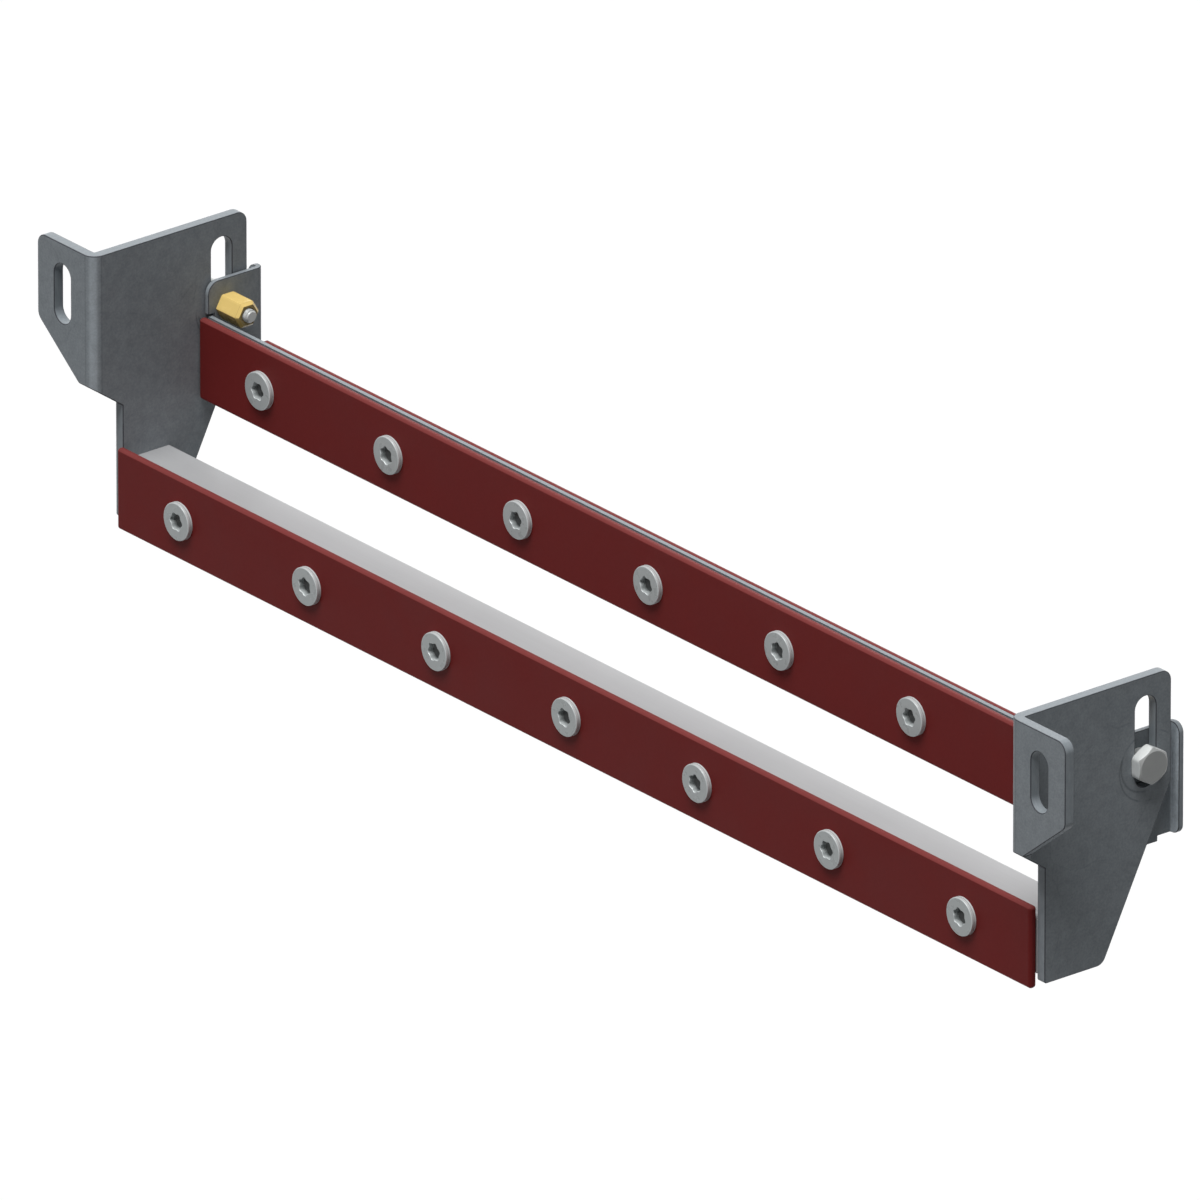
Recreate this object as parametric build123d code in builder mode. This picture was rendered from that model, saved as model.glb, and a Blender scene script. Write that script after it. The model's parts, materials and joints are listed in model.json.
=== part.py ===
from build123d import *
import math
import os

# Conveyor belt scraper: two bent side plates carry a fixed lower blade on a square bar
# and a clamped upper blade that slides up and down and tilts.
# X runs along the blades, Y from the mounting flanges towards the rear, Z up.
# The origin is midway between the plates, on the flanges' rear (mounting) faces,
# at the height of the mounting slots' centres. All sizes are in millimetres.

# Side plates
inside_width = 490.0
plate_t = 4.0
plate_height = 100.0
plate_depth = 67.0
plate_bend_r = 0.5
plate_corner_r = 4.0
lug_corner_r = 1.0
flange_reach = 30.0
flange_edge_height = 30.7
flange_cut_x = 22.0
fold_height = 48.5
fold_cut_drop = 9.3
rear_edge_height = 41.0
lug_margin = 5.0

# Mounting slots in the flanges
mount_slot_w = 9.0
mount_slot_l = 22.0
mount_slot_edge = 13.5
mount_slot_drop = 18.5

# Clamp slots in the plates
clamp_slot_w = 9.0
clamp_slot_l = 33.0
clamp_slot_edge = 11.0
clamp_slot_drop = 7.0
clamp_rest_raise = 4.3

# Blades of cast polyurethane strip
blade_t = 3.0
blade_width = 30.0
blade_bevel = 0.8
lower_blade_setback = 6.0
upper_blade_end_gap = 0.5
backing_t = 2.0
backing_bevel = 0.5
backing_end_gap = 29.5

# Lower bar
bar_size = 20.0
bar_raise = 2.3
bar_edge_r = 0.5

# Sheet carrier of the upper blade
sheet_t = 2.0
sheet_bend_r = 0.5
ear_gap = 0.3
pivot_over_blade = 2.8
ear_over_blade = 12.4
ear_corner_r = 4.5
nose_slit = 0.8
tab_gap = 3.5
tab_lift = 2.0
tab_relief = 5.5
tab_corner_r = 3.5

# Blade screws and their nuts
screw_count = 7
screw_margin = 35.0
thread_d = 6.0
thread_play = 0.05
blade_hole_play = 0.3
hole_sides = 12
screw_head_d = 13.6
screw_head_h = 2.0
socket_lobes = 6
socket_d = 5.6
socket_waist_d = 4.0
socket_depth = 1.5
lower_screw_l = 16.0
tapping_spare = 1.5
nut_af = 10.0
nut_h = 5.0
nut_thread_show = 1.4

# Clamp bolts and their long brass nuts
bolt_head_af = 12.0
bolt_head_h = 4.6
bolt_shoulder_d = 8.0
bolt_thread_d = 5.0
bolt_hole_play = 0.1
bolt_seat_gap = 0.05
clamp_nut_af = 9.0
clamp_nut_l = 12.2
clamp_nut_gap = 0.4
clamp_tip_show = 2.0

# Places worked out from the sizes
plate_in_x = inside_width / 2
plate_out_x = plate_in_x + plate_t
flange_out_x = plate_in_x + flange_reach
plate_top_z = mount_slot_drop
plate_low_z = plate_top_z - plate_height
plate_rear_y = plate_depth - plate_t
fold_low_z = plate_top_z - fold_height
mount_slot_x = flange_out_x - mount_slot_edge

bar_front_y = lower_blade_setback + blade_t
bar_low_z = plate_low_z + bar_raise
lower_blade_z = bar_low_z + bar_size / 2
lug_rear_y = bar_front_y + bar_size + lug_margin

clamp_slot_top_z = plate_top_z - clamp_slot_drop
clamp_slot_z = clamp_slot_top_z - clamp_slot_l / 2
pivot_y = plate_rear_y - clamp_slot_edge
pivot_z = clamp_slot_top_z - clamp_slot_l + clamp_slot_w / 2 + clamp_rest_raise

clamp_nut_corner_r = clamp_nut_af / math.sqrt(3)
web_rear_y = pivot_y - clamp_nut_corner_r - clamp_nut_gap
web_front_y = web_rear_y - sheet_t
upper_front_y = web_front_y - blade_t
backing_rear_y = web_rear_y + backing_t
ear_out_x = plate_in_x - ear_gap
ear_in_x = ear_out_x - sheet_t
ear_front_y = web_rear_y + sheet_bend_r
tab_front_y = plate_rear_y + tab_gap
tab_rear_y = tab_front_y + sheet_t
upper_top_z = pivot_z - pivot_over_blade
upper_low_z = upper_top_z - blade_width
tab_low_z = upper_low_z + tab_lift
relief_y = tab_front_y - tab_relief
upper_blade_z = upper_top_z - blade_width / 2
ear_top_z = upper_top_z + ear_over_blade

upper_blade_l = inside_width - 2 * upper_blade_end_gap
backing_l = inside_width - 2 * backing_end_gap
screw_hole_r = thread_d / 2 + blade_hole_play
thread_hole_r = thread_d / 2 + thread_play
upper_screw_l = backing_rear_y + nut_h + nut_thread_show - upper_front_y
screw_pitch = (inside_width - 2 * screw_margin) / (screw_count - 1)
screw_spots = [screw_pitch * (index - (screw_count - 1) / 2) for index in range(screw_count)]

os.makedirs("parts", exist_ok=True)


def six_lobe_socket(face, depth):
    """A six-lobe socket sunk from a face plane, its lobes drawn as the points of a star."""
    points = 2 * socket_lobes
    radii = (socket_d / 2, socket_waist_d / 2)
    star = [Vector(radii[step % 2], 0).rotate(Axis.Z, 360 / points * step) for step in range(points)]
    with BuildSketch(face) as socket:
        with BuildLine():
            Polyline(*star, close=True)
        make_face()
    extrude(socket.sketch, amount=-depth, mode=Mode.SUBTRACT)


def collar_screw(x, seat_y, z, length):
    """Flat collar-head screw along Y: its head stands in front of seat_y, its shank behind."""
    seat = Plane(origin=(x, seat_y, z), x_dir=(1, 0, 0), z_dir=(0, -1, 0))
    with BuildSketch(seat) as head:
        Circle(screw_head_d / 2)
    extrude(head.sketch, amount=screw_head_h)
    six_lobe_socket(seat.offset(screw_head_h), socket_depth)
    with BuildSketch(seat) as shank:
        Circle(thread_d / 2)
    extrude(shank.sketch, amount=-length)


def hexagon(across_flats):
    """A hexagon outline given by its width across flats."""
    RegularPolygon(radius=across_flats / 2, side_count=6, major_radius=False)


def hole_row(z, radius, mode=Mode.ADD):
    """One hole for each screw of a row. The screws hide them, so they have flats, not arcs."""
    with Locations(*[(x, z) for x in screw_spots]):
        RegularPolygon(radius=radius, side_count=hole_sides, major_radius=False, mode=mode)


def round_corner(outline, x, y, radius):
    """Round the corner of a sketch outline that lies nearest to a point."""
    corner = outline.vertices().sort_by_distance((x, y, 0))[0]
    fillet(corner, radius)


# Side plate: an L-shaped bent section, trimmed to its outline from the side and the front
with BuildPart() as right_plate:
    with BuildSketch(Plane.XY.offset(plate_low_z)):
        with BuildLine():
            FilletPolyline(
                (plate_in_x + plate_t / 2, plate_rear_y),
                (plate_in_x + plate_t / 2, -plate_t / 2),
                (flange_out_x, -plate_t / 2),
                radius=plate_bend_r + plate_t / 2,
            )
        trace(line_width=plate_t)
    extrude(amount=plate_height)

    with BuildSketch(Plane.YZ) as side_outline:
        with BuildLine():
            Polyline(
                (-plate_t, plate_top_z),
                (plate_rear_y, plate_top_z),
                (plate_rear_y, plate_top_z - rear_edge_height),
                (lug_rear_y, plate_low_z),
                (bar_front_y, plate_low_z),
                (bar_front_y, fold_low_z - fold_cut_drop),
                (-plate_t, fold_low_z),
                close=True,
            )
        make_face()
        round_corner(side_outline, plate_rear_y, plate_top_z, plate_corner_r)
        round_corner(side_outline, lug_rear_y, plate_low_z, plate_corner_r)
        round_corner(side_outline, bar_front_y, plate_low_z, lug_corner_r)
    extrude(amount=flange_out_x, mode=Mode.INTERSECT)

    with BuildSketch(Plane.XZ.offset(-plate_rear_y)) as front_outline:
        with BuildLine():
            Polyline(
                (plate_in_x, plate_top_z),
                (flange_out_x, plate_top_z),
                (flange_out_x, plate_top_z - flange_edge_height),
                (flange_out_x - flange_cut_x, fold_low_z),
                (flange_out_x - flange_cut_x, plate_low_z),
                (plate_in_x, plate_low_z),
                close=True,
            )
        make_face()
        round_corner(front_outline, flange_out_x, plate_top_z, plate_corner_r)
        round_corner(front_outline, flange_out_x, plate_top_z - flange_edge_height, plate_corner_r)
    extrude(amount=plate_depth, mode=Mode.INTERSECT)

    with BuildSketch(Plane.XZ):
        with Locations((mount_slot_x, 0)):
            SlotOverall(mount_slot_l, mount_slot_w, rotation=90)
    extrude(amount=plate_t, mode=Mode.SUBTRACT)

    with BuildSketch(Plane.YZ.offset(plate_in_x)):
        with Locations((pivot_y, clamp_slot_z)):
            SlotOverall(clamp_slot_l, clamp_slot_w, rotation=90)
    extrude(amount=plate_t, mode=Mode.SUBTRACT)

right_plate.part.label = "side_plate_right"
export_step(right_plate.part, "parts/side_plate_right.step")

with BuildPart() as left_plate:
    mirror(right_plate.part, about=Plane.YZ)
left_plate.part.label = "side_plate_left"
export_step(left_plate.part, "parts/side_plate_left.step")


# Lower bar: square bright bar welded between the plates, with a tapped row of holes
with BuildPart() as lower_bar:
    with BuildSketch(Plane.YZ.offset(-plate_in_x)) as bar_section:
        with Locations((bar_front_y + bar_size / 2, lower_blade_z)):
            Rectangle(bar_size, bar_size)
        fillet(bar_section.vertices(), bar_edge_r)
    extrude(amount=inside_width)
    with BuildSketch(Plane.XZ.offset(-bar_front_y)):
        hole_row(lower_blade_z, thread_hole_r)
    extrude(amount=-(lower_screw_l - blade_t + tapping_spare), mode=Mode.SUBTRACT)
lower_bar.part.label = "lower_bar"
export_step(lower_bar.part, "parts/lower_bar.step")


def blade_strip(length, thickness, front_y, mid_z, bevel):
    """A flat strip along X, bevelled all round, with a clear hole for each screw."""
    with BuildSketch(Plane.XZ.offset(-front_y)) as face:
        with Locations((0, mid_z)):
            Rectangle(length, blade_width)
    extrude(face.sketch, amount=-thickness)
    chamfer(edges(), bevel)
    with BuildSketch(Plane.XZ.offset(-front_y)) as holes:
        hole_row(mid_z, screw_hole_r)
    extrude(holes.sketch, amount=-thickness, mode=Mode.SUBTRACT)


# Blades: polyurethane strips, one fixed below and one on the sheet carrier
with BuildPart() as lower_blade:
    blade_strip(inside_width, blade_t, lower_blade_setback, lower_blade_z, blade_bevel)
lower_blade.part.label = "lower_blade"
export_step(lower_blade.part, "parts/lower_blade.step")

with BuildPart() as upper_blade:
    blade_strip(upper_blade_l, blade_t, upper_front_y, upper_blade_z, blade_bevel)
upper_blade.part.label = "upper_blade"
export_step(upper_blade.part, "parts/upper_blade.step")

with BuildPart() as backing_strip:
    blade_strip(backing_l, backing_t, web_rear_y, upper_blade_z, backing_bevel)
backing_strip.part.label = "backing_strip"
export_step(backing_strip.part, "parts/backing_strip.step")


# Beam carrier: one bent sheet with a web behind the blade, an ear at each end
# and a tab on each ear that turns out behind the side plate as a tilt stop.
# A slit frees each ear's flat nose from the bend below it, and a notch frees the tab's bend.
with BuildPart() as beam_carrier:
    ear_mid_x = ear_out_x - sheet_t / 2
    web_mid_y = web_front_y + sheet_t / 2
    tab_mid_y = tab_front_y + sheet_t / 2
    with BuildSketch(Plane.XY.offset(upper_low_z)):
        with BuildLine():
            FilletPolyline(
                (-plate_out_x, tab_mid_y),
                (-ear_mid_x, tab_mid_y),
                (-ear_mid_x, web_mid_y),
                (ear_mid_x, web_mid_y),
                (ear_mid_x, tab_mid_y),
                (plate_out_x, tab_mid_y),
                radius=sheet_bend_r + sheet_t / 2,
            )
        trace(line_width=sheet_t)
    extrude(amount=ear_top_z - upper_low_z)

    with BuildSketch(Plane.YZ.offset(-plate_out_x)):
        with BuildLine():
            Polyline(
                (web_front_y, upper_low_z),
                (relief_y, upper_low_z),
                (relief_y, tab_low_z),
                (tab_rear_y, tab_low_z),
                (tab_rear_y, ear_top_z),
                (ear_front_y, ear_top_z),
                (ear_front_y, upper_top_z),
                (web_front_y, upper_top_z),
                close=True,
            )
        make_face()
    extrude(amount=2 * plate_out_x, mode=Mode.INTERSECT)

    with BuildSketch(Plane.XZ.offset(-web_front_y)):
        for x in (-ear_mid_x, ear_mid_x):
            with Locations((x, upper_top_z + nose_slit)):
                Rectangle(sheet_t, ear_top_z - upper_top_z - nose_slit, align=(Align.CENTER, Align.MIN))
    extrude(amount=-(ear_front_y - web_front_y))
    nose_corners = edges().filter_by(Axis.X).group_by(Axis.Z)[-1].group_by(Axis.Y)[0]
    fillet(nose_corners, ear_corner_r)

    with BuildSketch(Plane.XZ.offset(-tab_rear_y)) as tab_outline:
        with BuildLine():
            Polyline(
                (ear_out_x, upper_low_z),
                (ear_out_x, tab_low_z),
                (plate_out_x, tab_low_z),
                (plate_out_x, ear_top_z),
                (-plate_out_x, ear_top_z),
                (-plate_out_x, tab_low_z),
                (-ear_out_x, tab_low_z),
                (-ear_out_x, upper_low_z),
                close=True,
            )
        make_face()
        for x in (-plate_out_x, plate_out_x):
            round_corner(tab_outline, x, tab_low_z, tab_corner_r)
            round_corner(tab_outline, x, ear_top_z, tab_corner_r)
    extrude(amount=tab_rear_y - web_front_y, mode=Mode.INTERSECT)

    with BuildSketch(Plane.YZ.offset(-ear_out_x)):
        with Locations((pivot_y, pivot_z)):
            Circle(bolt_thread_d / 2 + bolt_hole_play)
    extrude(amount=2 * ear_out_x, mode=Mode.SUBTRACT)

    with BuildSketch(Plane.XZ.offset(-web_front_y)):
        hole_row(upper_blade_z, screw_hole_r)
    extrude(amount=-sheet_t, mode=Mode.SUBTRACT)
beam_carrier.part.label = "beam_carrier"
export_step(beam_carrier.part, "parts/beam_carrier.step")


# Blade screws: one row into the bar, one row through the upper blade into nuts
for index, x in enumerate(screw_spots):
    number = index + 1

    with BuildPart() as lower_screw:
        collar_screw(x, lower_blade_setback, lower_blade_z, lower_screw_l)
    lower_screw.part.label = f"lower_screw_{number}"
    export_step(lower_screw.part, f"parts/lower_screw_{number}.step")

    with BuildPart() as upper_screw:
        collar_screw(x, upper_front_y, upper_blade_z, upper_screw_l)
    upper_screw.part.label = f"upper_screw_{number}"
    export_step(upper_screw.part, f"parts/upper_screw_{number}.step")


# Nuts on the upper screws, drawn up against the backing strip
with BuildPart() as upper_nuts:
    with BuildSketch(Plane.XZ.offset(-backing_rear_y)):
        with Locations(*[(x, upper_blade_z) for x in screw_spots]):
            hexagon(nut_af)
        hole_row(upper_blade_z, thread_hole_r, mode=Mode.SUBTRACT)
    extrude(amount=-nut_h)
upper_nuts.part.label = "upper_nuts"
export_step(upper_nuts.part, "parts/upper_nuts.step")


# Clamp bolts: each passes its plate's slot on a turned shoulder and the carrier's ear
# on its thread, and a long brass nut draws the ear and the plate together
for side, name in ((-1, "left"), (1, "right")):
    head_seat_x = plate_out_x + bolt_seat_gap
    shoulder_end_x = ear_out_x + bolt_seat_gap
    nut_seat_x = ear_in_x - bolt_seat_gap
    head_seat = Plane(
        origin=(side * head_seat_x, pivot_y, pivot_z),
        x_dir=(0, 0, 1),
        z_dir=(side, 0, 0),
    )
    with BuildPart() as clamp_bolt:
        with BuildSketch(head_seat):
            hexagon(bolt_head_af)
        extrude(amount=bolt_head_h)
        with BuildSketch(head_seat):
            Circle(bolt_shoulder_d / 2)
        extrude(amount=-(head_seat_x - shoulder_end_x))
        with BuildSketch(head_seat):
            Circle(bolt_thread_d / 2)
        extrude(amount=-(head_seat_x - nut_seat_x + clamp_nut_l + clamp_tip_show))
    clamp_bolt.part.label = f"clamp_bolt_{name}"
    export_step(clamp_bolt.part, f"parts/clamp_bolt_{name}.step")

    nut_seat = Plane(
        origin=(side * nut_seat_x, pivot_y, pivot_z),
        x_dir=(0, 1, 0),
        z_dir=(-side, 0, 0),
    )
    with BuildPart() as clamp_nut:
        with BuildSketch(nut_seat):
            hexagon(clamp_nut_af)
            Circle(bolt_thread_d / 2 + thread_play, mode=Mode.SUBTRACT)
        extrude(amount=clamp_nut_l)
    clamp_nut.part.label = f"clamp_nut_{name}"
    export_step(clamp_nut.part, f"parts/clamp_nut_{name}.step")
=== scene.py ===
import json
import math

import bmesh
import bpy
from mathutils import Matrix, Vector


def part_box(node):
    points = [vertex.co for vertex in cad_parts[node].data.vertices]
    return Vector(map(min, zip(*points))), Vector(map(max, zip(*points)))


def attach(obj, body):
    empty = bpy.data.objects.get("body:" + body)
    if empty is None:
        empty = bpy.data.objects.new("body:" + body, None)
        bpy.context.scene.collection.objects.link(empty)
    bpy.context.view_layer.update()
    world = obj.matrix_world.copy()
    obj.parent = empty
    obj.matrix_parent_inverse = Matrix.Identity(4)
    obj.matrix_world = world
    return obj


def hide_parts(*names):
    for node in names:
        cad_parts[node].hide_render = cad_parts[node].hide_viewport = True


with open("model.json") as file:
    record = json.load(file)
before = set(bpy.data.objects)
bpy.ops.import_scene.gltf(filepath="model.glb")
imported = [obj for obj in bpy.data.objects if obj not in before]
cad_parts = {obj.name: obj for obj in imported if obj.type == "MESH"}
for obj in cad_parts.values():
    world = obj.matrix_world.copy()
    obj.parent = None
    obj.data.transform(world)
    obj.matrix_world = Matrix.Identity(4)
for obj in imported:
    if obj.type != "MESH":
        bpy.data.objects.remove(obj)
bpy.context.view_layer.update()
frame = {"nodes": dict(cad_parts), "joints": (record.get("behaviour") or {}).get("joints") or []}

scene = bpy.context.scene
scene.view_settings.view_transform = "Standard"
mm = 0.001


# The view: the scraper is seen from above its right front corner through a very long lens,
# so that its blades run parallel across the picture.
view_azimuth = math.radians(51.12)
view_elevation = math.radians(23.83)
photo_side_px = 1200
px_per_m = 2979
origin_px = Vector((554.3, 532.3))
lens, sensor = 1400, 36

right = Vector((math.cos(view_azimuth), math.sin(view_azimuth), 0))
back = Vector((
    math.sin(view_azimuth) * math.cos(view_elevation),
    -math.cos(view_azimuth) * math.cos(view_elevation),
    math.sin(view_elevation),
))
up = back.cross(right)
off_centre = (Vector((photo_side_px / 2, photo_side_px / 2)) - origin_px) / px_per_m
aim = right * off_centre.x - up * off_centre.y
distance = lens / sensor * photo_side_px / px_per_m

camera = bpy.data.objects.new("camera", bpy.data.cameras.new("camera"))
camera.data.lens = lens
camera.data.sensor_width = sensor
camera.data.clip_start, camera.data.clip_end = 1, 60
camera.location = aim + back * distance
camera.rotation_euler = (-back).to_track_quat("-Z", "Y").to_euler()
scene.collection.objects.link(camera)
scene.camera = camera


# The studio: a pale floor well below the part, so that its soft shadow falls outside the
# picture, one broad lamp high on the right front, a weaker one low behind the left rear
# that fills the back, and a dim even light from all round.
floor_drop = 0.6
floor_reach = 8
white = (0.988, 0.988, 0.988, 1)
floor_white = (0.945, 0.945, 0.945, 1)
lamps = (
    ("main_lamp", Vector((0.12, -0.34, 0.93)), 3.0, math.radians(36)),
    ("fill_lamp", Vector((-0.55, 0.80, 0.20)), 1.1, math.radians(60)),
)
room_light = (0.10, 0.10, 0.103, 1)
floor_bounce = (0.18, 0.18, 0.18, 1)


def worked_out(tree, operation, *values, kind="Math", result="Value"):
    """One result of a sum on numbers or vectors, each of them a socket or a plain value."""
    node = tree.nodes.new(f"ShaderNode{kind}")
    node.operation = operation
    for value, socket in zip(values, node.inputs):
        if isinstance(value, bpy.types.NodeSocket):
            tree.links.new(value, socket)
        else:
            socket.default_value = value
    return node.outputs[result]


def seen_directly(tree):
    """1 for what the camera, a mirror or glass looks at, and 0 for light that spreads."""
    path = tree.nodes.new("ShaderNodeLightPath").outputs
    seen = worked_out(tree, "MAXIMUM", path["Is Camera Ray"], path["Is Glossy Ray"])
    return worked_out(tree, "MAXIMUM", seen, path["Is Transmission Ray"])


def two_colours(tree, factor, first, second):
    """The first colour where the factor is 0, the second where it is 1."""
    mix = tree.nodes.new("ShaderNodeMix")
    mix.data_type = "RGBA"
    tree.links.new(factor, mix.inputs["Factor"])
    mix.inputs["A"].default_value = first
    mix.inputs["B"].default_value = second
    return mix.outputs["Result"]


scene.world = bpy.data.worlds.new("studio")
scene.world.use_nodes = True
world_tree = scene.world.node_tree
surroundings = two_colours(world_tree, seen_directly(world_tree), room_light, white)
world_tree.links.new(surroundings, world_tree.nodes["Background"].inputs["Color"])

for name, direction, strength, spread in lamps:
    lamp = bpy.data.objects.new(name, bpy.data.lights.new(name, "SUN"))
    lamp.data.energy = strength
    lamp.data.angle = spread
    lamp.rotation_euler = direction.to_track_quat("Z", "Y").to_euler()
    scene.collection.objects.link(lamp)

floor_finish = bpy.data.materials.new("pale_floor")
floor_finish.use_nodes = True
floor_tree = floor_finish.node_tree
floor_shader = floor_tree.nodes["Principled BSDF"]
floor_shader.inputs["Roughness"].default_value = 1
floor_shader.inputs["Specular IOR Level"].default_value = 0
floor_colour = two_colours(floor_tree, seen_directly(floor_tree), floor_bounce, floor_white)
floor_tree.links.new(floor_colour, floor_shader.inputs["Base Color"])

floor_mesh = bpy.data.meshes.new("floor")
corner_signs = ((-1, -1), (1, -1), (1, 1), (-1, 1))
corners = [(x * floor_reach, y * floor_reach, -floor_drop) for x, y in corner_signs]
floor_mesh.from_pydata(corners, [], [(0, 1, 2, 3)])
floor_mesh.materials.append(floor_finish)
floor = bpy.data.objects.new("floor", floor_mesh)
scene.collection.objects.link(floor)


# Side plates: two mirrored plates of 4 mm hot-rolled sheet, cut by laser and folded once.
# The faces keep their slate-grey mill skin, the cut edges are paler, with a dark burr line.
plate_node_of = {"side_plate_left": "left_cheek", "side_plate_right": "right_cheek"}
burr_width = 0.3 * mm
weld_distance = 0.002 * mm
flat_angle = math.radians(1)
corner_angle = math.radians(28)
sheet_face_area = 430 * mm * mm
upright_limit, bend_limit = 0.1, 0.05
screw_cover_r = 5 * mm
skin_dark, skin_pale = (0.250, 0.277, 0.298), (0.277, 0.302, 0.323)
skin_grain, edge_grain = 0.02 * mm, 0.02 * mm


def new_finish(name, metallic, specular):
    """A material with its tree, its shader and the Object coordinates that patterns read."""
    material = bpy.data.materials.new(name)
    material.use_nodes = True
    tree = material.node_tree
    shader = tree.nodes["Principled BSDF"]
    shader.inputs["Metallic"].default_value = metallic
    shader.inputs["Specular IOR Level"].default_value = specular
    coords = tree.nodes.new("ShaderNodeTexCoord").outputs["Object"]
    return material, tree, shader, coords


def clouds(tree, coords, per_metre, detail=4.0, drawn=(1, 1, 1)):
    """Noise with so many features to the metre, drawn out along an axis by a small factor."""
    mapping = tree.nodes.new("ShaderNodeMapping")
    mapping.inputs["Scale"].default_value = [per_metre * axis for axis in drawn]
    tree.links.new(coords, mapping.inputs["Vector"])
    noise = tree.nodes.new("ShaderNodeTexNoise")
    noise.inputs["Scale"].default_value = 1
    noise.inputs["Detail"].default_value = detail
    tree.links.new(mapping.outputs["Vector"], noise.inputs["Vector"])
    return noise.outputs["Fac"]


def between(tree, factor, low, high, start=0.3, end=0.7):
    """A value that runs from low to high as the factor goes from start to end."""
    span = tree.nodes.new("ShaderNodeMapRange")
    span.inputs["From Min"].default_value = start
    span.inputs["From Max"].default_value = end
    span.inputs["To Min"].default_value = low
    span.inputs["To Max"].default_value = high
    tree.links.new(factor, span.inputs["Value"])
    return span.outputs["Result"]


def shaded(tree, colour, amount):
    """The colour times a grey amount, which may be above or below 1."""
    product = tree.nodes.new("ShaderNodeVectorMath")
    product.operation = "SCALE"
    tree.links.new(colour, product.inputs[0])
    tree.links.new(amount, product.inputs["Scale"])
    return product.outputs["Vector"]


def textured(tree, shader, height, depth):
    """Small relief on the surface, depth metres from its lowest to its highest."""
    bump = tree.nodes.new("ShaderNodeBump")
    bump.inputs["Strength"].default_value = 1
    bump.inputs["Distance"].default_value = depth
    tree.links.new(height, bump.inputs["Height"])
    tree.links.new(bump.outputs["Normal"], shader.inputs["Normal"])


def facing(tree):
    """X, Y and Z of the direction that the surface faces on the piece."""
    parts = tree.nodes.new("ShaderNodeSeparateXYZ")
    tree.links.new(tree.nodes.new("ShaderNodeTexCoord").outputs["Normal"], parts.inputs[0])
    return parts.outputs


def bend_painted_highlight(tree):
    """Tone of a bend's outside: a painted highlight along its middle, darker where it runs out."""
    direction = facing(tree)
    amount = worked_out(tree, "ABSOLUTE", worked_out(tree, "MULTIPLY", direction["X"], direction["Y"]))
    ramp = tree.nodes.new("ShaderNodeValToRGB")
    for position, tone in ((0.03, 0.5), (0.07, 0.40), (0.2, 0.5), (0.36, 0.56), (0.47, 0.76)):
        stop = ramp.color_ramp.elements.new(position)
        stop.color = (tone, tone, tone, 1)
    ramp.color_ramp.elements.remove(ramp.color_ramp.elements[0])
    ramp.color_ramp.elements.remove(ramp.color_ramp.elements[-1])
    tree.links.new(amount, ramp.inputs["Fac"])
    return between(tree, ramp.outputs["Color"], 0, 2, start=0, end=1)


def hair_lines(tree, coords):
    """Tone of faint wandering lines in the mill scale, broken up by noise."""
    wander = clouds(tree, coords, 30, detail=2)
    reach = (0.03, 0.03, 0.03)
    bent = worked_out(tree, "MULTIPLY_ADD", wander, reach, coords, kind="VectorMath", result="Vector")
    cracks = tree.nodes.new("ShaderNodeTexVoronoi")
    cracks.feature = "DISTANCE_TO_EDGE"
    cracks.inputs["Scale"].default_value = 28
    tree.links.new(bent, cracks.inputs["Vector"])
    line = between(tree, cracks.outputs["Distance"], 1, 0, start=0, end=0.012)
    patches = between(tree, clouds(tree, coords, 70, detail=2), 0, 1, start=0.46, end=0.6)
    return between(tree, worked_out(tree, "MULTIPLY", line, patches), 1, 0.88, start=0, end=1)


def painted_reflection_ring(tree, coords, centre, radius, width, amount):
    """A painted reflection: a faint broken dark ring about an axis along X, as a grey factor."""
    offset = worked_out(tree, "SUBTRACT", coords, centre, kind="VectorMath", result="Vector")
    across = worked_out(tree, "MULTIPLY", offset, (0, 1, 1), kind="VectorMath", result="Vector")
    from_axis = worked_out(tree, "LENGTH", across, kind="VectorMath")
    from_ring = worked_out(tree, "ABSOLUTE", worked_out(tree, "SUBTRACT", from_axis, radius))
    line = between(tree, from_ring, 1 - amount, 0, start=0, end=width)
    patches = between(tree, clouds(tree, coords, 75, detail=2), 0, 1, start=0.45, end=0.58)
    return between(tree, worked_out(tree, "MULTIPLY", line, patches), 1, 0, start=0, end=1)


def mill_skin(name, painted_reflection_rings=(), painted_light=1.0):
    """Slate-grey skin of rolled sheet: mottling, hair lines in the scale and fine grain."""
    material, tree, shader, coords = new_finish(name, metallic=0, specular=0.12)
    broad = clouds(tree, coords, 55, detail=5)
    # A factor above 1 pales the whole skin as painted light.
    dark = [painted_light * part for part in skin_dark] + [1]
    pale = [painted_light * part for part in skin_pale] + [1]
    colour = two_colours(tree, between(tree, broad, 0, 1), dark, pale)
    mottling = clouds(tree, coords, 260, detail=3)
    colour = shaded(tree, colour, between(tree, mottling, 0.93, 1.07))
    grain = clouds(tree, coords, 1300, detail=2)
    colour = shaded(tree, colour, between(tree, grain, 0.91, 1.09))
    colour = shaded(tree, colour, hair_lines(tree, coords))
    # Each bend's outside gets a painted highlight along its middle, darker where it runs out.
    colour = shaded(tree, colour, bend_painted_highlight(tree))
    # Dark rings on the face, painted reflections.
    for centre, radius, width, amount in painted_reflection_rings:
        colour = shaded(tree, colour, painted_reflection_ring(tree, coords, centre, radius, width, amount))
    tree.links.new(colour, shader.inputs["Base Color"])
    tree.links.new(between(tree, broad, 0.48, 0.60), shader.inputs["Roughness"])
    textured(tree, shader, clouds(tree, coords, 1900, detail=3), skin_grain)
    return material


def cut_edge(name, dark, pale):
    """Laser-cut edge of the sheet: paler than the skin, with fine lines down the cut."""
    material, tree, shader, coords = new_finish(name, metallic=0, specular=0.15)
    lines = clouds(tree, coords, 900, detail=2, drawn=(1, 1, 0.35))
    colour = two_colours(tree, between(tree, lines, 0, 1), dark, pale)
    tree.links.new(colour, shader.inputs["Base Color"])
    tree.links.new(between(tree, lines, 0.38, 0.52), shader.inputs["Roughness"])
    textured(tree, shader, lines, edge_grain)
    return material


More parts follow.
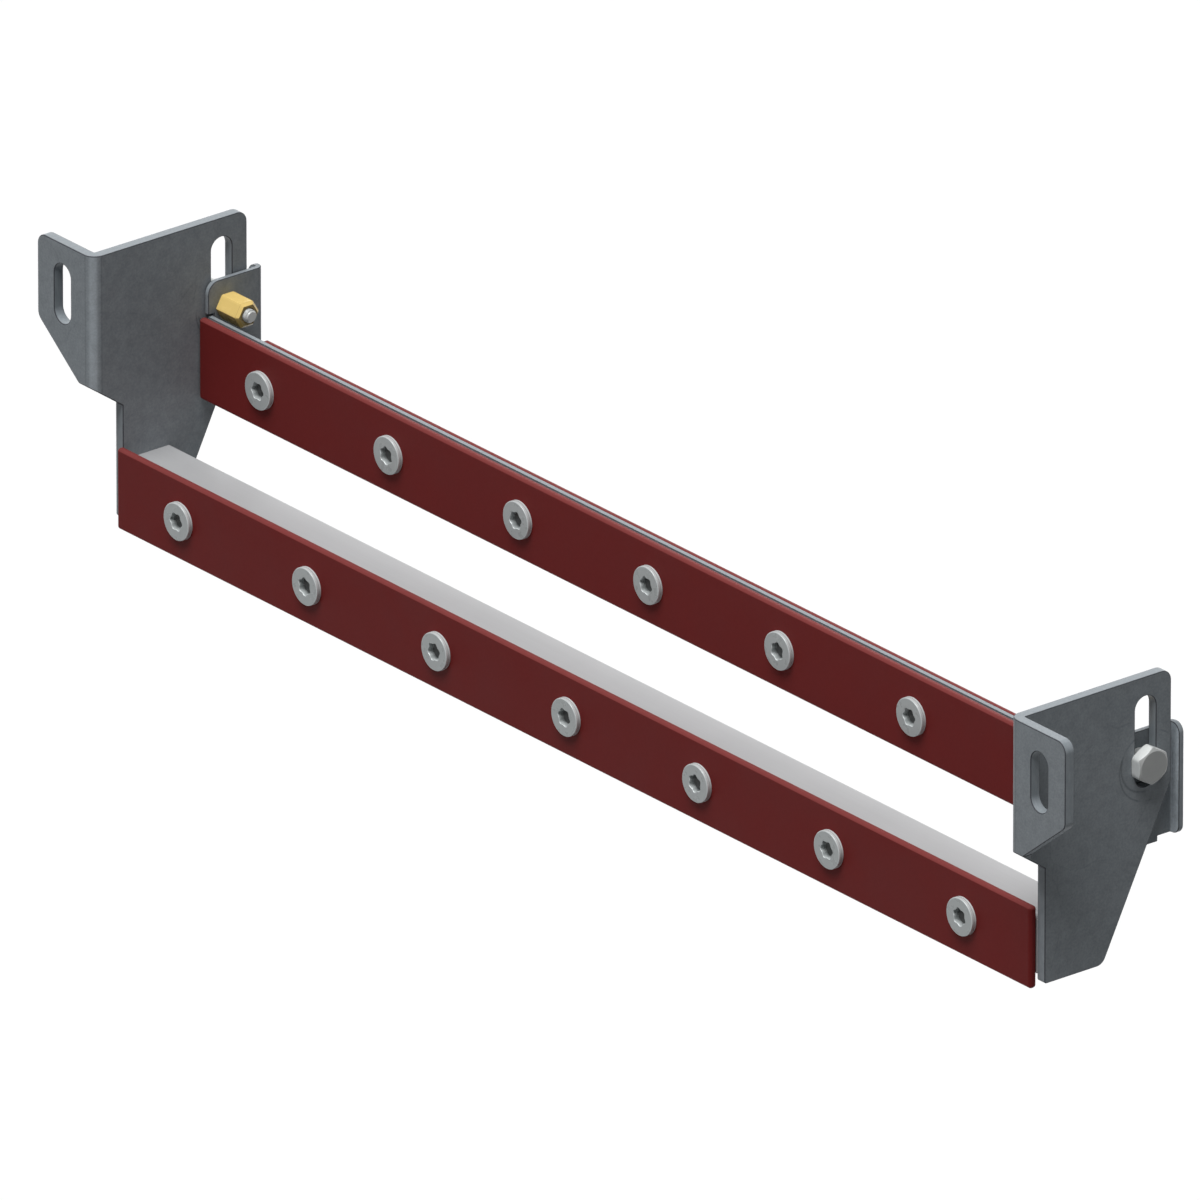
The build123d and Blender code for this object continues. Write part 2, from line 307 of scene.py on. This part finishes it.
def burr_line(name, dark, pale):
    """Dark line where a face meets its cut edge."""
    material, tree, shader, coords = new_finish(name, metallic=0, specular=0.2)
    along = clouds(tree, coords, 240, detail=3)
    colour = two_colours(tree, between(tree, along, 0, 1), dark, pale)
    tree.links.new(colour, shader.inputs["Base Color"])
    shader.inputs["Roughness"].default_value = 0.6
    return material


def clean_copy(node):
    """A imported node's mesh with its corners joined and its flat faces whole again."""
    mesh = bmesh.new()
    mesh.from_mesh(frame["nodes"][node].data)
    bmesh.ops.remove_doubles(mesh, verts=mesh.verts, dist=weld_distance)
    bmesh.ops.dissolve_limit(mesh, angle_limit=flat_angle, verts=mesh.verts, edges=mesh.edges)
    mesh.normal_update()
    return mesh


def mark_sheet(mesh, broad_area):
    """Give slot 0 to bends and to flat faces of at least that area in one plane, slot 1 to cuts."""
    planes = {}
    for face in mesh.faces:
        offset = face.normal.dot(face.calc_center_median()) / mm
        key = tuple(round(number, 1) for number in (*face.normal, offset))
        planes.setdefault(key, []).append(face)
    for faces in planes.values():
        normal = faces[0].normal
        upright = abs(normal.z) < upright_limit
        on_bend = min(abs(normal.x), abs(normal.y)) > bend_limit
        broad = sum(face.calc_area() for face in faces) > broad_area
        for face in faces:
            face.material_index = 0 if upright and (on_bend or broad) else 1


def eased_piece(name, mesh, finishes, width, segments=2):
    """An object from a mesh, its corners eased by a small bevel in the last finish.

    The rims of the screw holes, which the heads and the nuts cover, stay sharp."""
    data = bpy.data.meshes.new(name)
    for face in mesh.faces:
        face.smooth = True
    weight = mesh.edges.layers.float.new("bevel_weight_edge")
    for edge in mesh.edges:
        middle = (edge.verts[0].co + edge.verts[1].co) / 2
        off_screws = [math.hypot(middle.x - x, middle.z - z) for x, z in screw_spots]
        covered = min(off_screws) < screw_cover_r
        edge[weight] = float(edge.calc_face_angle(0) > corner_angle and not covered)
    mesh.to_mesh(data)
    mesh.free()
    for finish in finishes:
        data.materials.append(finish)
    piece = bpy.data.objects.new(name, data)
    scene.collection.objects.link(piece)
    bevel = piece.modifiers.new("eased corners", "BEVEL")
    bevel.width = width
    bevel.segments = segments
    bevel.limit_method = "WEIGHT"
    bevel.use_clamp_overlap = False
    bevel.material = len(finishes) - 1
    flats = piece.modifiers.new("flat faces stay flat", "WEIGHTED_NORMAL")
    flats.weight = 100
    flats.keep_sharp = True
    return piece


def fitted(piece, body, slot, *replaced):
    """Hand a finished piece over: its body and the nodes it stands for. The record slot is not used.
    """
    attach(piece, body)
    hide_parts(*replaced)


def middle_of(node):
    """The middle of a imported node's box."""
    low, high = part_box(node)
    return (low + high) / 2


screw_count = 7
screw_nodes = {
    row: [f"{row}_screw_{number}" for number in range(1, screw_count + 1)]
    for row in ("lower", "upper")
}
screw_middles = [middle_of(node) for nodes in screw_nodes.values() for node in nodes]
screw_spots = [(middle.x, middle.z) for middle in screw_middles]
tilt_joint = next(joint for joint in frame["joints"] if joint["name"] == "beam_tilt")
pivot = Vector(tilt_joint["pos_m"])
# Two faint dark rings about the pivot on the plates' faces, painted reflections.
painted_reflection_marks = [
    (pivot, 10.4 * mm, 0.6 * mm, 0.62),
    (pivot + Vector((0, 1.5 * mm, -1.5 * mm)), 12.6 * mm, 0.5 * mm, 0.66),
]
plate_skin = mill_skin("plate_skin", painted_reflection_marks)
plate_edge = cut_edge("plate_cut_edge", (0.262, 0.294, 0.318, 1), (0.318, 0.350, 0.374, 1))
plate_burr = burr_line("plate_burr_line", (0.055, 0.06, 0.07, 1), (0.085, 0.09, 0.10, 1))

for node, name in plate_node_of.items():
    plate = clean_copy(node)
    mark_sheet(plate, sheet_face_area)
    piece = eased_piece(name, plate, [plate_skin, plate_edge, plate_burr], burr_width)
    fitted(piece, "root", "plate_steel", node)


# Lower bar: a length of 20 mm square bright drawn steel, welded between the plates.
# Drawing leaves fine lines along it and slightly rounded corners, finished paler as a painted
# highlight.
bar_corner = 0.35 * mm
bar_grain = 0.006 * mm


def drawn_bar(name, dark, pale):
    """Bright drawn steel: fine lines along X over slow changes of tone."""
    material, tree, shader, coords = new_finish(name, metallic=0.05, specular=0.3)
    lines = clouds(tree, coords, 1500, detail=3, drawn=(0.012, 1, 1))
    slow = clouds(tree, coords, 40, detail=3)
    colour = two_colours(tree, between(tree, lines, 0, 1), dark, pale)
    colour = shaded(tree, colour, between(tree, slow, 0.98, 1.02))
    tree.links.new(colour, shader.inputs["Base Color"])
    tree.links.new(between(tree, lines, 0.30, 0.42), shader.inputs["Roughness"])
    textured(tree, shader, lines, bar_grain)
    return material


bar_face = drawn_bar("bright_bar", (0.452, 0.460, 0.468, 1), (0.476, 0.485, 0.493, 1))
# The corners' paler finish is a painted highlight.
bar_corner_highlight = drawn_bar("bar_corner_painted_highlight", (0.57, 0.57, 0.57, 1), (0.63, 0.63, 0.63, 1))
bar = eased_piece("square_bar", clean_copy("lower_bar"), [bar_face, bar_corner_highlight], bar_corner)
fitted(bar, "root", "bar_steel", "lower_bar")


# Blades: strips of cast dark red polyurethane with bevelled edges. Faces that turn up or down
# are paler, partly rubbed by the belt and partly a painted highlight; the front and back
# faces stay even and slightly dull.
strip_corner = 0.35 * mm
strip_grain = 0.012 * mm


def cast_polyurethane(name, face_colour, highlight_and_wear_colour):
    """Dull red cast plastic with a fine skin; where it turns up or down, wear and a painted highlight.
    """
    material, tree, shader, coords = new_finish(name, metallic=0, specular=0.07)
    slow = clouds(tree, coords, 60, detail=4)
    fine = clouds(tree, coords, 900, detail=2)
    steepness = worked_out(tree, "ABSOLUTE", facing(tree)["Z"])
    # Paler where the surface turns up or down: partly wear, partly a painted highlight.
    painted_light = between(tree, steepness, 0, 1, start=0.1, end=0.75)
    colour = two_colours(tree, painted_light, face_colour, highlight_and_wear_colour)
    colour = shaded(tree, colour, between(tree, slow, 0.97, 1.03))
    colour = shaded(tree, colour, between(tree, fine, 0.97, 1.03))
    tree.links.new(colour, shader.inputs["Base Color"])
    tree.links.new(between(tree, slow, 0.46, 0.56), shader.inputs["Roughness"])
    textured(tree, shader, fine, strip_grain)
    return material


red = cast_polyurethane("red_strip", (0.160, 0.0185, 0.0178, 1), (0.222, 0.048, 0.046, 1))
strips = (
    ("front_strip", "lower_blade", "root"),
    ("wiping_strip", "upper_blade", "upper_beam"),
    ("rear_strip", "backing_strip", "upper_beam"),
)
for name, node, body in strips:
    piece = eased_piece(name, clean_copy(node), [red], strip_corner, segments=3)
    fitted(piece, body, "red_polyurethane", node)


# Beam carrier: one 2 mm sheet behind the upper strip, bent back into an ear at each end
# and out again into a tab that stops the tilt against the plate. Same skin as the plates.
# The front of each tab is painted paler, painted light where the plate keeps the lamp off it.
carrier_burr_width = 0.25 * mm
carrier_face_area = 90 * mm * mm
tab_painted_light = 2.6
forward = -0.9

carrier_skin = mill_skin("carrier_skin")
tab_painted_light_skin = mill_skin("painted_light_tab_skin", painted_light=tab_painted_light)
carrier = clean_copy("beam_carrier")
mark_sheet(carrier, carrier_face_area)
plate_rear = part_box("side_plate_right")[1].y
# The tabs' front faces behind the plates take the paler skin: painted light where the plates shade
# them.
for face in carrier.faces:
    on_tab = face.normal.y < forward and face.calc_center_median().y > plate_rear
    if face.material_index == 0 and on_tab:
        face.material_index = 2
finishes = [carrier_skin, plate_edge, tab_painted_light_skin, plate_burr]
piece = eased_piece("ear_beam", carrier, finishes, carrier_burr_width)
fitted(piece, "upper_beam", "carrier_steel", "beam_carrier")


# Blade screws: M6 collar-head screws with a six-lobe socket, zinc plated, seven to a row.
# The lower row is screwed into the bar, the upper row goes through to nuts.
# The sizes of turned pieces are in millimetres.
head_r, head_h = 6.8, 2.0
rim_r, seat_ease = 0.30, 0.15
groove_top, groove_bottom = 1.00, 0.72
groove_depth, groove_slope = 0.16, 0.06
# The wall and rim are brighter than the face, partly turned and partly a painted highlight; the groove
# is darkened as painted shade.
face_tone, rim_turned_and_highlight_tone, wall_turned_and_highlight_tone, groove_painted_shade = 0.62, 0.85, 0.88, 0.5
tone_gap = 0.05
shank_r, shank_plain, thread_start, shank_tip = 3.0, 0.5, 0.75, 0.6
lobe_mouth_r, lobe_swing = 3.17, 0.27
# The socket from its drill point up: height, mean radius, swing of the lobes and tone.
# The tone is painted shade, darkest at the floor, with a painted glint at the mouth.
socket_shade_and_glint_rings = (
    (-0.90, 0.05, 0.00, 0.05),
    (0.00, 2.60, 0.00, 0.07),
    (0.10, 2.95, 0.26, 0.40),
    (0.60, 2.97, 0.26, 0.65),
    (1.80, 3.02, 0.27, 0.72),
    (1.87, 3.05, 0.27, 0.95),
    (1.98, 3.15, 0.27, 0.95),
)
thread_depth, thread_pitch, rings_in_pitch = 0.5, 1.0, 4
zinc_grain = 0.008 * mm
ring_sides = 72
smooth_angle = math.radians(34)


def circle(radius):
    """The same radius all round."""
    return lambda angle: radius


def lobes(mean, swing):
    """A six-lobe outline about a mean radius."""
    return lambda angle: mean + swing * math.cos(6 * angle)


def thread(radius, depth, pitch, height):
    """A vee thread's radius at one height: it turns once about the axis in each pitch."""
    def at(angle):
        turn = (height / pitch - angle / math.tau) % 1
        return radius - depth * (1 - abs(2 * turn - 1))
    return at


def threaded(radius, depth, pitch, top, bottom, tip):
    """Rings of a threaded shank from top down to bottom, with a tapered tip."""
    step = pitch / rings_in_pitch
    count = int((top - tip - bottom) / step) + 1
    heights = [top - step * index for index in range(count)]
    rings = [(height, thread(radius, depth, pitch, height)) for height in heights]
    root_r = radius - depth
    return rings + [(bottom + tip, circle(root_r)), (bottom, circle(root_r - tip / 2))]


def rounded_rim(outer_r, height, radius, steps=4):
    """Rings round a quarter circle from an end face at a height out to an outer radius."""
    rings = []
    for step in range(steps + 1):
        angle = math.pi / 2 * step / steps
        out, down = radius * math.sin(angle), radius * math.cos(angle)
        rings.append((height - radius + down, circle(outer_r - radius + out)))
    return rings


def turned(name, rings, pierced=False):
    """A closed body about +Z in millimetres, from rings of a height and a radius all round.

    A third item in a ring is its tone, a number or a function of the angle, which the
    finish reads as an attribute."""
    mesh = bmesh.new()
    tone_layer = mesh.verts.layers.float.new("tone")
    rows = []
    for height, radius_at, *tones in rings:
        tone = tones[0] if tones else 1
        row = []
        for step in range(ring_sides):
            angle = math.tau * step / ring_sides
            radius = radius_at(angle)
            corner = mesh.verts.new((radius * math.cos(angle), radius * math.sin(angle), height))
            corner[tone_layer] = tone(angle) if callable(tone) else tone
            row.append(corner)
        rows.append(row)
    pairs = list(zip(rows, rows[1:]))
    if pierced:
        pairs.append((rows[-1], rows[0]))
    else:
        mesh.faces.new(rows[0])
        mesh.faces.new(rows[-1])
    for one, two in pairs:
        for step in range(ring_sides):
            following = (step + 1) % ring_sides
            mesh.faces.new((one[step], one[following], two[following], two[step]))
    bmesh.ops.recalc_face_normals(mesh, faces=mesh.faces)
    bmesh.ops.scale(mesh, verts=mesh.verts, vec=(mm, mm, mm))
    for face in mesh.faces:
        face.smooth = True
    data = bpy.data.meshes.new(name)
    mesh.to_mesh(data)
    mesh.free()
    data.set_sharp_from_angle(angle=smooth_angle)
    piece = bpy.data.objects.new(name, data)
    scene.collection.objects.link(piece)
    return piece


def axis_frame(origin, axis, across):
    """The matrix that stands a turned piece at origin, its +Z along axis, its +X along across."""
    axis, across = Vector(axis), Vector(across)
    third = axis.cross(across)
    return Matrix.Translation(origin) @ Matrix((across, third, axis)).transposed().to_4x4()


def collar_screw(name, length):
    """One screw about +Z, its seat at height 0, its socket open at the top.

    The end face is ground dull, the wall bright, partly turned and partly a painted highlight,
    with its groove darkened as painted shade; the socket is painted dark as shade, with a
    painted glint at its rim."""
    socket = [(height, lobes(mean, swing), tone) for height, mean, swing, tone in socket_shade_and_glint_rings]
    face = [
        (head_h, lobes(lobe_mouth_r, lobe_swing), face_tone),
        (head_h, circle(head_r - rim_r - tone_gap), face_tone),
    ]
    rim = [(*ring, rim_turned_and_highlight_tone) for ring in rounded_rim(head_r, head_h, rim_r)]
    wall = [
        (head_h - rim_r - tone_gap, circle(head_r), wall_turned_and_highlight_tone),
        (groove_top, circle(head_r), wall_turned_and_highlight_tone),
        (groove_top - groove_slope, circle(head_r - groove_depth), groove_painted_shade),
        (groove_bottom + groove_slope, circle(head_r - groove_depth), groove_painted_shade),
        (groove_bottom, circle(head_r), wall_turned_and_highlight_tone),
        (seat_ease, circle(head_r)),
        (0, circle(head_r - seat_ease)),
        (0, circle(shank_r)),
        (-shank_plain, circle(shank_r)),
    ]
    shank = threaded(shank_r, thread_depth, thread_pitch, -thread_start, -length, shank_tip)
    return turned(name, socket + face + rim + wall + shank)


def turned_tone(tree):
    """The tone that a turned piece's rings carry."""
    tone = tree.nodes.new("ShaderNodeAttribute")
    tone.attribute_name = "tone"
    return tone.outputs["Fac"]


def zinc_plate(name, dark, pale):
    """Zinc plating with faint clouds, as bright or dull as each turned part of a piece."""
    material, tree, shader, coords = new_finish(name, metallic=0.1, specular=0.35)
    slow = clouds(tree, coords, 300, detail=3)
    colour = two_colours(tree, between(tree, slow, 0, 1), dark, pale)
    colour = shaded(tree, colour, turned_tone(tree))
    tree.links.new(colour, shader.inputs["Base Color"])
    tree.links.new(between(tree, slow, 0.24, 0.36), shader.inputs["Roughness"])
    textured(tree, shader, clouds(tree, coords, 2600, detail=2), zinc_grain)
    return material


def row_tree():
    """Geometry Nodes: copies of a piece set out along X, each turned on from the last."""
    tree = bpy.data.node_groups.new("row along the blade", "GeometryNodeTree")
    sockets = (
        ("Geometry", "NodeSocketGeometry"),
        ("Count", "NodeSocketInt"),
        ("First", "NodeSocketVector"),
        ("Pitch", "NodeSocketFloat"),
        ("Turn", "NodeSocketFloat"),
        ("Finish", "NodeSocketMaterial"),
    )
    for name, kind in sockets:
        tree.interface.new_socket(name=name, in_out="INPUT", socket_type=kind)
    tree.interface.new_socket(name="Geometry", in_out="OUTPUT", socket_type="NodeSocketGeometry")
    entry = tree.nodes.new("NodeGroupInput")
    line = tree.nodes.new("GeometryNodeMeshLine")
    step = tree.nodes.new("ShaderNodeCombineXYZ")
    number = tree.nodes.new("GeometryNodeInputIndex")
    angle = tree.nodes.new("ShaderNodeMath")
    angle.operation = "MULTIPLY"
    turn = tree.nodes.new("FunctionNodeAxisAngleToRotation")
    turn.inputs["Axis"].default_value = (0, 1, 0)
    copies = tree.nodes.new("GeometryNodeInstanceOnPoints")
    joined = tree.nodes.new("GeometryNodeRealizeInstances")
    finished = tree.nodes.new("GeometryNodeSetMaterial")
    leave = tree.nodes.new("NodeGroupOutput")
    links = (
        (entry.outputs["Pitch"], step.inputs["X"]),
        (entry.outputs["Count"], line.inputs["Count"]),
        (entry.outputs["First"], line.inputs["Start Location"]),
        (step.outputs["Vector"], line.inputs["Offset"]),
        (number.outputs["Index"], angle.inputs[0]),
        (entry.outputs["Turn"], angle.inputs[1]),
        (angle.outputs[0], turn.inputs["Angle"]),
        (line.outputs["Mesh"], copies.inputs["Points"]),
        (turn.outputs["Rotation"], copies.inputs["Rotation"]),
        (entry.outputs["Geometry"], copies.inputs["Instance"]),
        (copies.outputs["Instances"], joined.inputs["Geometry"]),
        (joined.outputs["Geometry"], finished.inputs["Geometry"]),
        (entry.outputs["Finish"], finished.inputs["Material"]),
        (finished.outputs["Geometry"], leave.inputs["Geometry"]),
    )
    for source, target in links:
        tree.links.new(source, target)
    return tree


def made_by(tree, piece, sizes):
    """Run a tree on a piece with its sizes, and keep the result as the piece's plain mesh."""
    modifier = piece.modifiers.new(tree.name, "NODES")
    modifier.node_group = tree
    for socket in tree.interface.items_tree:
        if socket.in_out == "INPUT" and socket.name in sizes:
            modifier[socket.identifier] = sizes[socket.name]
    shape = piece.evaluated_get(bpy.context.evaluated_depsgraph_get())
    result = bpy.data.meshes.new_from_object(shape)
    piece.modifiers.remove(modifier)
    piece.data = result


blade_row = row_tree()
zinc = zinc_plate("zinc_plating", (0.685, 0.73, 0.732, 1), (0.72, 0.765, 0.767, 1))
pitch_x = middle_of("lower_screw_2").x - middle_of("lower_screw_1").x
screw_turn = math.radians(23)

for row, body in (("lower", "root"), ("upper", "upper_beam")):
    first = screw_nodes[row][0]
    low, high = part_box(first)
    seat = Vector((middle_of(first).x, low.y + head_h * mm, middle_of(first).z))
    screw = collar_screw(f"{row}_screw_row", (high.y - seat.y) / mm)
    screw.data.transform(axis_frame((0, 0, 0), (0, -1, 0), (1, 0, 0)))
    sizes = {"Count": screw_count, "First": seat, "Pitch": pitch_x, "Turn": screw_turn}
    made_by(blade_row, screw, {**sizes, "Finish": zinc})
    fitted(screw, body, "zinc_plated_steel", *screw_nodes[row])


# Nuts behind the upper beam: M6 hexagon nuts, zinc plated, their corners turned off at both
# ends, drawn up on the backing strip.
nut_flat_r, nut_height = 5.0, 5.0
nut_face_share, nut_slope = 0.95, math.tan(math.radians(30))
nut_bore_ease, bore_clearance = 0.45, 0.02


def hexagon(flat_r, cone_r=math.inf):
    """A hexagon's outline, with its corners cut back to a cone's radius."""
    def at(angle):
        off_corner = (angle + math.pi / 6) % (math.pi / 3) - math.pi / 6
        return min(flat_r / math.cos(math.pi / 6 - abs(off_corner)), cone_r)
    return at


def turned_off(flat_r, corner_r, end_height, inward, face_share, slope, steps=6, tones=(1, 1)):
    """Rings over the turned-off corners, from the end face to where the full hexagon starts.

    The two tones are those of the turned cone and of the flats."""
    face_r = flat_r * face_share
    flats = hexagon(flat_r)

    def tone_at(cone_r):
        return lambda angle: tones[0] if cone_r <= flats(angle) else tones[1]

    rings = []
    for step in range(steps + 1):
        cone_r = face_r + (corner_r - face_r) * step / steps
        height = end_height + inward * (cone_r - face_r) * slope
        rings.append((height, hexagon(flat_r, cone_r), tone_at(cone_r)))
    return rings


def bored(bore_r, height, ease):
    """Rings down a bore from a height to 0, opened by ease at both ends."""
    return [
        (height, circle(bore_r + ease)),
        (height - ease, circle(bore_r + bore_clearance)),
        (ease, circle(bore_r + bore_clearance)),
        (0, circle(bore_r + ease)),
    ]


def hexagon_nut(name, flat_r, height, bore_r):
    """A hexagon nut about +Z from height 0, its corners turned off at both ends."""
    corner_r = flat_r / math.cos(math.pi / 6)
    near_end = turned_off(flat_r, corner_r, 0, 1, nut_face_share, nut_slope)
    far_end = turned_off(flat_r, corner_r, height, -1, nut_face_share, nut_slope)[::-1]
    return turned(name, near_end + far_end + bored(bore_r, height, nut_bore_ease), pierced=True)


nuts = hexagon_nut("nut_row", nut_flat_r, nut_height, shank_r)
nuts.data.transform(axis_frame((0, 0, 0), (0, 1, 0), (1, 0, 0)))
seat_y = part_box("upper_nuts")[0].y
first_nut = Vector((middle_of("upper_screw_1").x, seat_y, middle_of("upper_nuts").z))
sizes = {"Count": screw_count, "First": first_nut, "Pitch": pitch_x, "Turn": 0.0}
made_by(blade_row, nuts, {**sizes, "Finish": zinc})
fitted(nuts, "upper_beam", "zinc_plated_steel", "upper_nuts")


# Clamp bolts: hexagon-head stainless bolts, turned to a shoulder in the plate's slot and to
# a smaller thread beyond it. Each holds the beam's ear to its plate.
bolt_flat_r, bolt_corner_r, bolt_head_h = 6.0, 6.75, 4.6
bolt_face_share, bolt_slope = 0.92, math.tan(math.radians(34))
bolt_cone_depth = 1.1
bolt_seat_share, bolt_seat_ease = 1.08, 0.25
shoulder_r, shoulder_length, shoulder_ease = 4.0, 4.3, 0.2
bolt_thread_r, bolt_thread_depth, bolt_pitch = 2.5, 0.45, 0.8
bolt_undercut, bolt_tip = 0.3, 0.5
# The head's flats are toned brighter as a painted highlight, its face and cone darker as painted
# shade.
bolt_face_painted_shade, bolt_cone_painted_shade, bolt_side_painted_highlight = 0.6, 0.72, 1.35
bolt_grain = 0.006 * mm


def clamp_bolt(name, length):
    """One bolt about +Z: its head above height 0, its shoulder and thread below."""
    face_r = bolt_flat_r * bolt_face_share - tone_gap
    sides = hexagon(bolt_flat_r, bolt_corner_r)
    rings = [
        (bolt_head_h, circle(0.1), bolt_face_painted_shade),
        (bolt_head_h, circle(face_r), bolt_face_painted_shade),
    ]
    rings += turned_off(
        bolt_flat_r, bolt_corner_r, bolt_head_h, -1, bolt_face_share, bolt_slope,
        tones=(bolt_cone_painted_shade, bolt_side_painted_highlight),
    )
    rings += [
        (bolt_head_h - bolt_cone_depth, sides, bolt_side_painted_highlight),
        (bolt_seat_ease, sides, bolt_side_painted_highlight),
        (0, hexagon(bolt_flat_r, bolt_flat_r * bolt_seat_share)),
        (0, circle(shoulder_r)),
        (shoulder_ease - shoulder_length, circle(shoulder_r)),
        (-shoulder_length, circle(shoulder_r - shoulder_ease)),
        (-shoulder_length, circle(bolt_thread_r)),
    ]
    start = -shoulder_length - bolt_undercut
    rings += threaded(bolt_thread_r, bolt_thread_depth, bolt_pitch, start, -length, bolt_tip)
    return turned(name, rings)


def stainless(name, dark, pale):
    """Turned stainless steel, grey, with a trace of fine lines."""
    material, tree, shader, coords = new_finish(name, metallic=0.08, specular=0.3)
    slow = clouds(tree, coords, 200, detail=3)
    colour = two_colours(tree, between(tree, slow, 0, 1), dark, pale)
    colour = shaded(tree, colour, turned_tone(tree))
    tree.links.new(colour, shader.inputs["Base Color"])
    tree.links.new(between(tree, slow, 0.28, 0.40), shader.inputs["Roughness"])
    textured(tree, shader, clouds(tree, coords, 2400, detail=2), bolt_grain)
    return material


bolt_steel = stainless("stainless_bolt", (0.55, 0.57, 0.565, 1), (0.60, 0.615, 0.605, 1))
outward = {"left": -1, "right": 1}
for side, sign in outward.items():
    node = f"clamp_bolt_{side}"
    low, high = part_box(node)
    outer, inner = (high.x, low.x) if sign > 0 else (low.x, high.x)
    head_seat = outer - sign * bolt_head_h * mm
    bolt = clamp_bolt(f"{side}_clamp_bolt", abs(head_seat - inner) / mm)
    bolt.data.transform(axis_frame((head_seat, pivot.y, pivot.z), (sign, 0, 0), (0, 0, 1)))
    bolt.data.materials.append(bolt_steel)
    fitted(bolt, "clamp_bolts", "stainless_steel", node)


# Clamp nuts: long brass hexagon nuts on the bolts' threads, inside the ears. All six faces
# are bevelled at both ends, and their edges are eased from handling.
long_nut_flat_r, long_nut_corner_r = 4.5, 5.1
long_nut_bevel, bevel_line = 0.95, 0.12
long_nut_bore_ease = 0.3
# The bevels' tone is a painted highlight; the end face and bore are darkened as painted shade.
bevel_painted_highlight, line_tone, end_painted_shade = 1.15, 0.78, 0.38
brass_grain = 0.006 * mm


def bevelled_nut(name, flat_r, corner_r, height, bevel, bore_r):
    """A hexagon nut about +Z from height 0, with a straight bevel round each end.

    The bevels carry a painted highlight, with a dull line where each meets the flats; the end
    face and bore are darkened as painted shade."""
    end = hexagon(flat_r - bevel, corner_r - bevel)
    inside_line = hexagon(flat_r - bevel_line, corner_r - bevel_line)
    face = hexagon(flat_r - bevel - tone_gap, corner_r - bevel - tone_gap)
    full = hexagon(flat_r, corner_r)
    near_end = [
        (0, end, bevel_painted_highlight),
        (bevel - bevel_line, inside_line, bevel_painted_highlight),
        (bevel, full, line_tone),
        (bevel + bevel_line, full, 1),
    ]
    far_end = [(height - along, radius_at, tone) for along, radius_at, tone in reversed(near_end)]
    bore = [(*ring, end_painted_shade) for ring in bored(bore_r, height, long_nut_bore_ease)]
    return turned(name, near_end + far_end + [(height, face, end_painted_shade)] + bore, pierced=True)


def turned_brass(name, dark, pale):
    """Bright brass with faint clouds and fine tool lines, darkened on its underside as painted shade.
    """
    material, tree, shader, coords = new_finish(name, metallic=0, specular=0.18)
    slow = clouds(tree, coords, 160, detail=3)
    # Faces turned down are darkened: painted shade.
    underside_painted_shade = between(tree, facing(tree)["Z"], 0.5, 1, start=-0.6, end=0.2)
    colour = two_colours(tree, between(tree, slow, 0, 1), dark, pale)
    colour = shaded(tree, colour, turned_tone(tree))
    colour = shaded(tree, colour, underside_painted_shade)
    tree.links.new(colour, shader.inputs["Base Color"])
    tree.links.new(between(tree, slow, 0.20, 0.30), shader.inputs["Roughness"])
    textured(tree, shader, clouds(tree, coords, 1600, detail=2, drawn=(0.1, 1, 1)), brass_grain)
    return material


brass = turned_brass("turned_brass", (0.83, 0.60, 0.20, 1), (0.865, 0.635, 0.22, 1))
for side, sign in outward.items():
    node = f"clamp_nut_{side}"
    low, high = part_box(node)
    seat_x = high.x if sign > 0 else low.x
    nut = bevelled_nut(
        f"{side}_clamp_nut", long_nut_flat_r, long_nut_corner_r, (high.x - low.x) / mm,
        long_nut_bevel, bolt_thread_r,
    )
    nut.data.transform(axis_frame((seat_x, pivot.y, pivot.z), (-sign, 0, 0), (0, 1, 0)))
    nut.data.materials.append(brass)
    fitted(nut, "clamp_bolts", "brass", node)
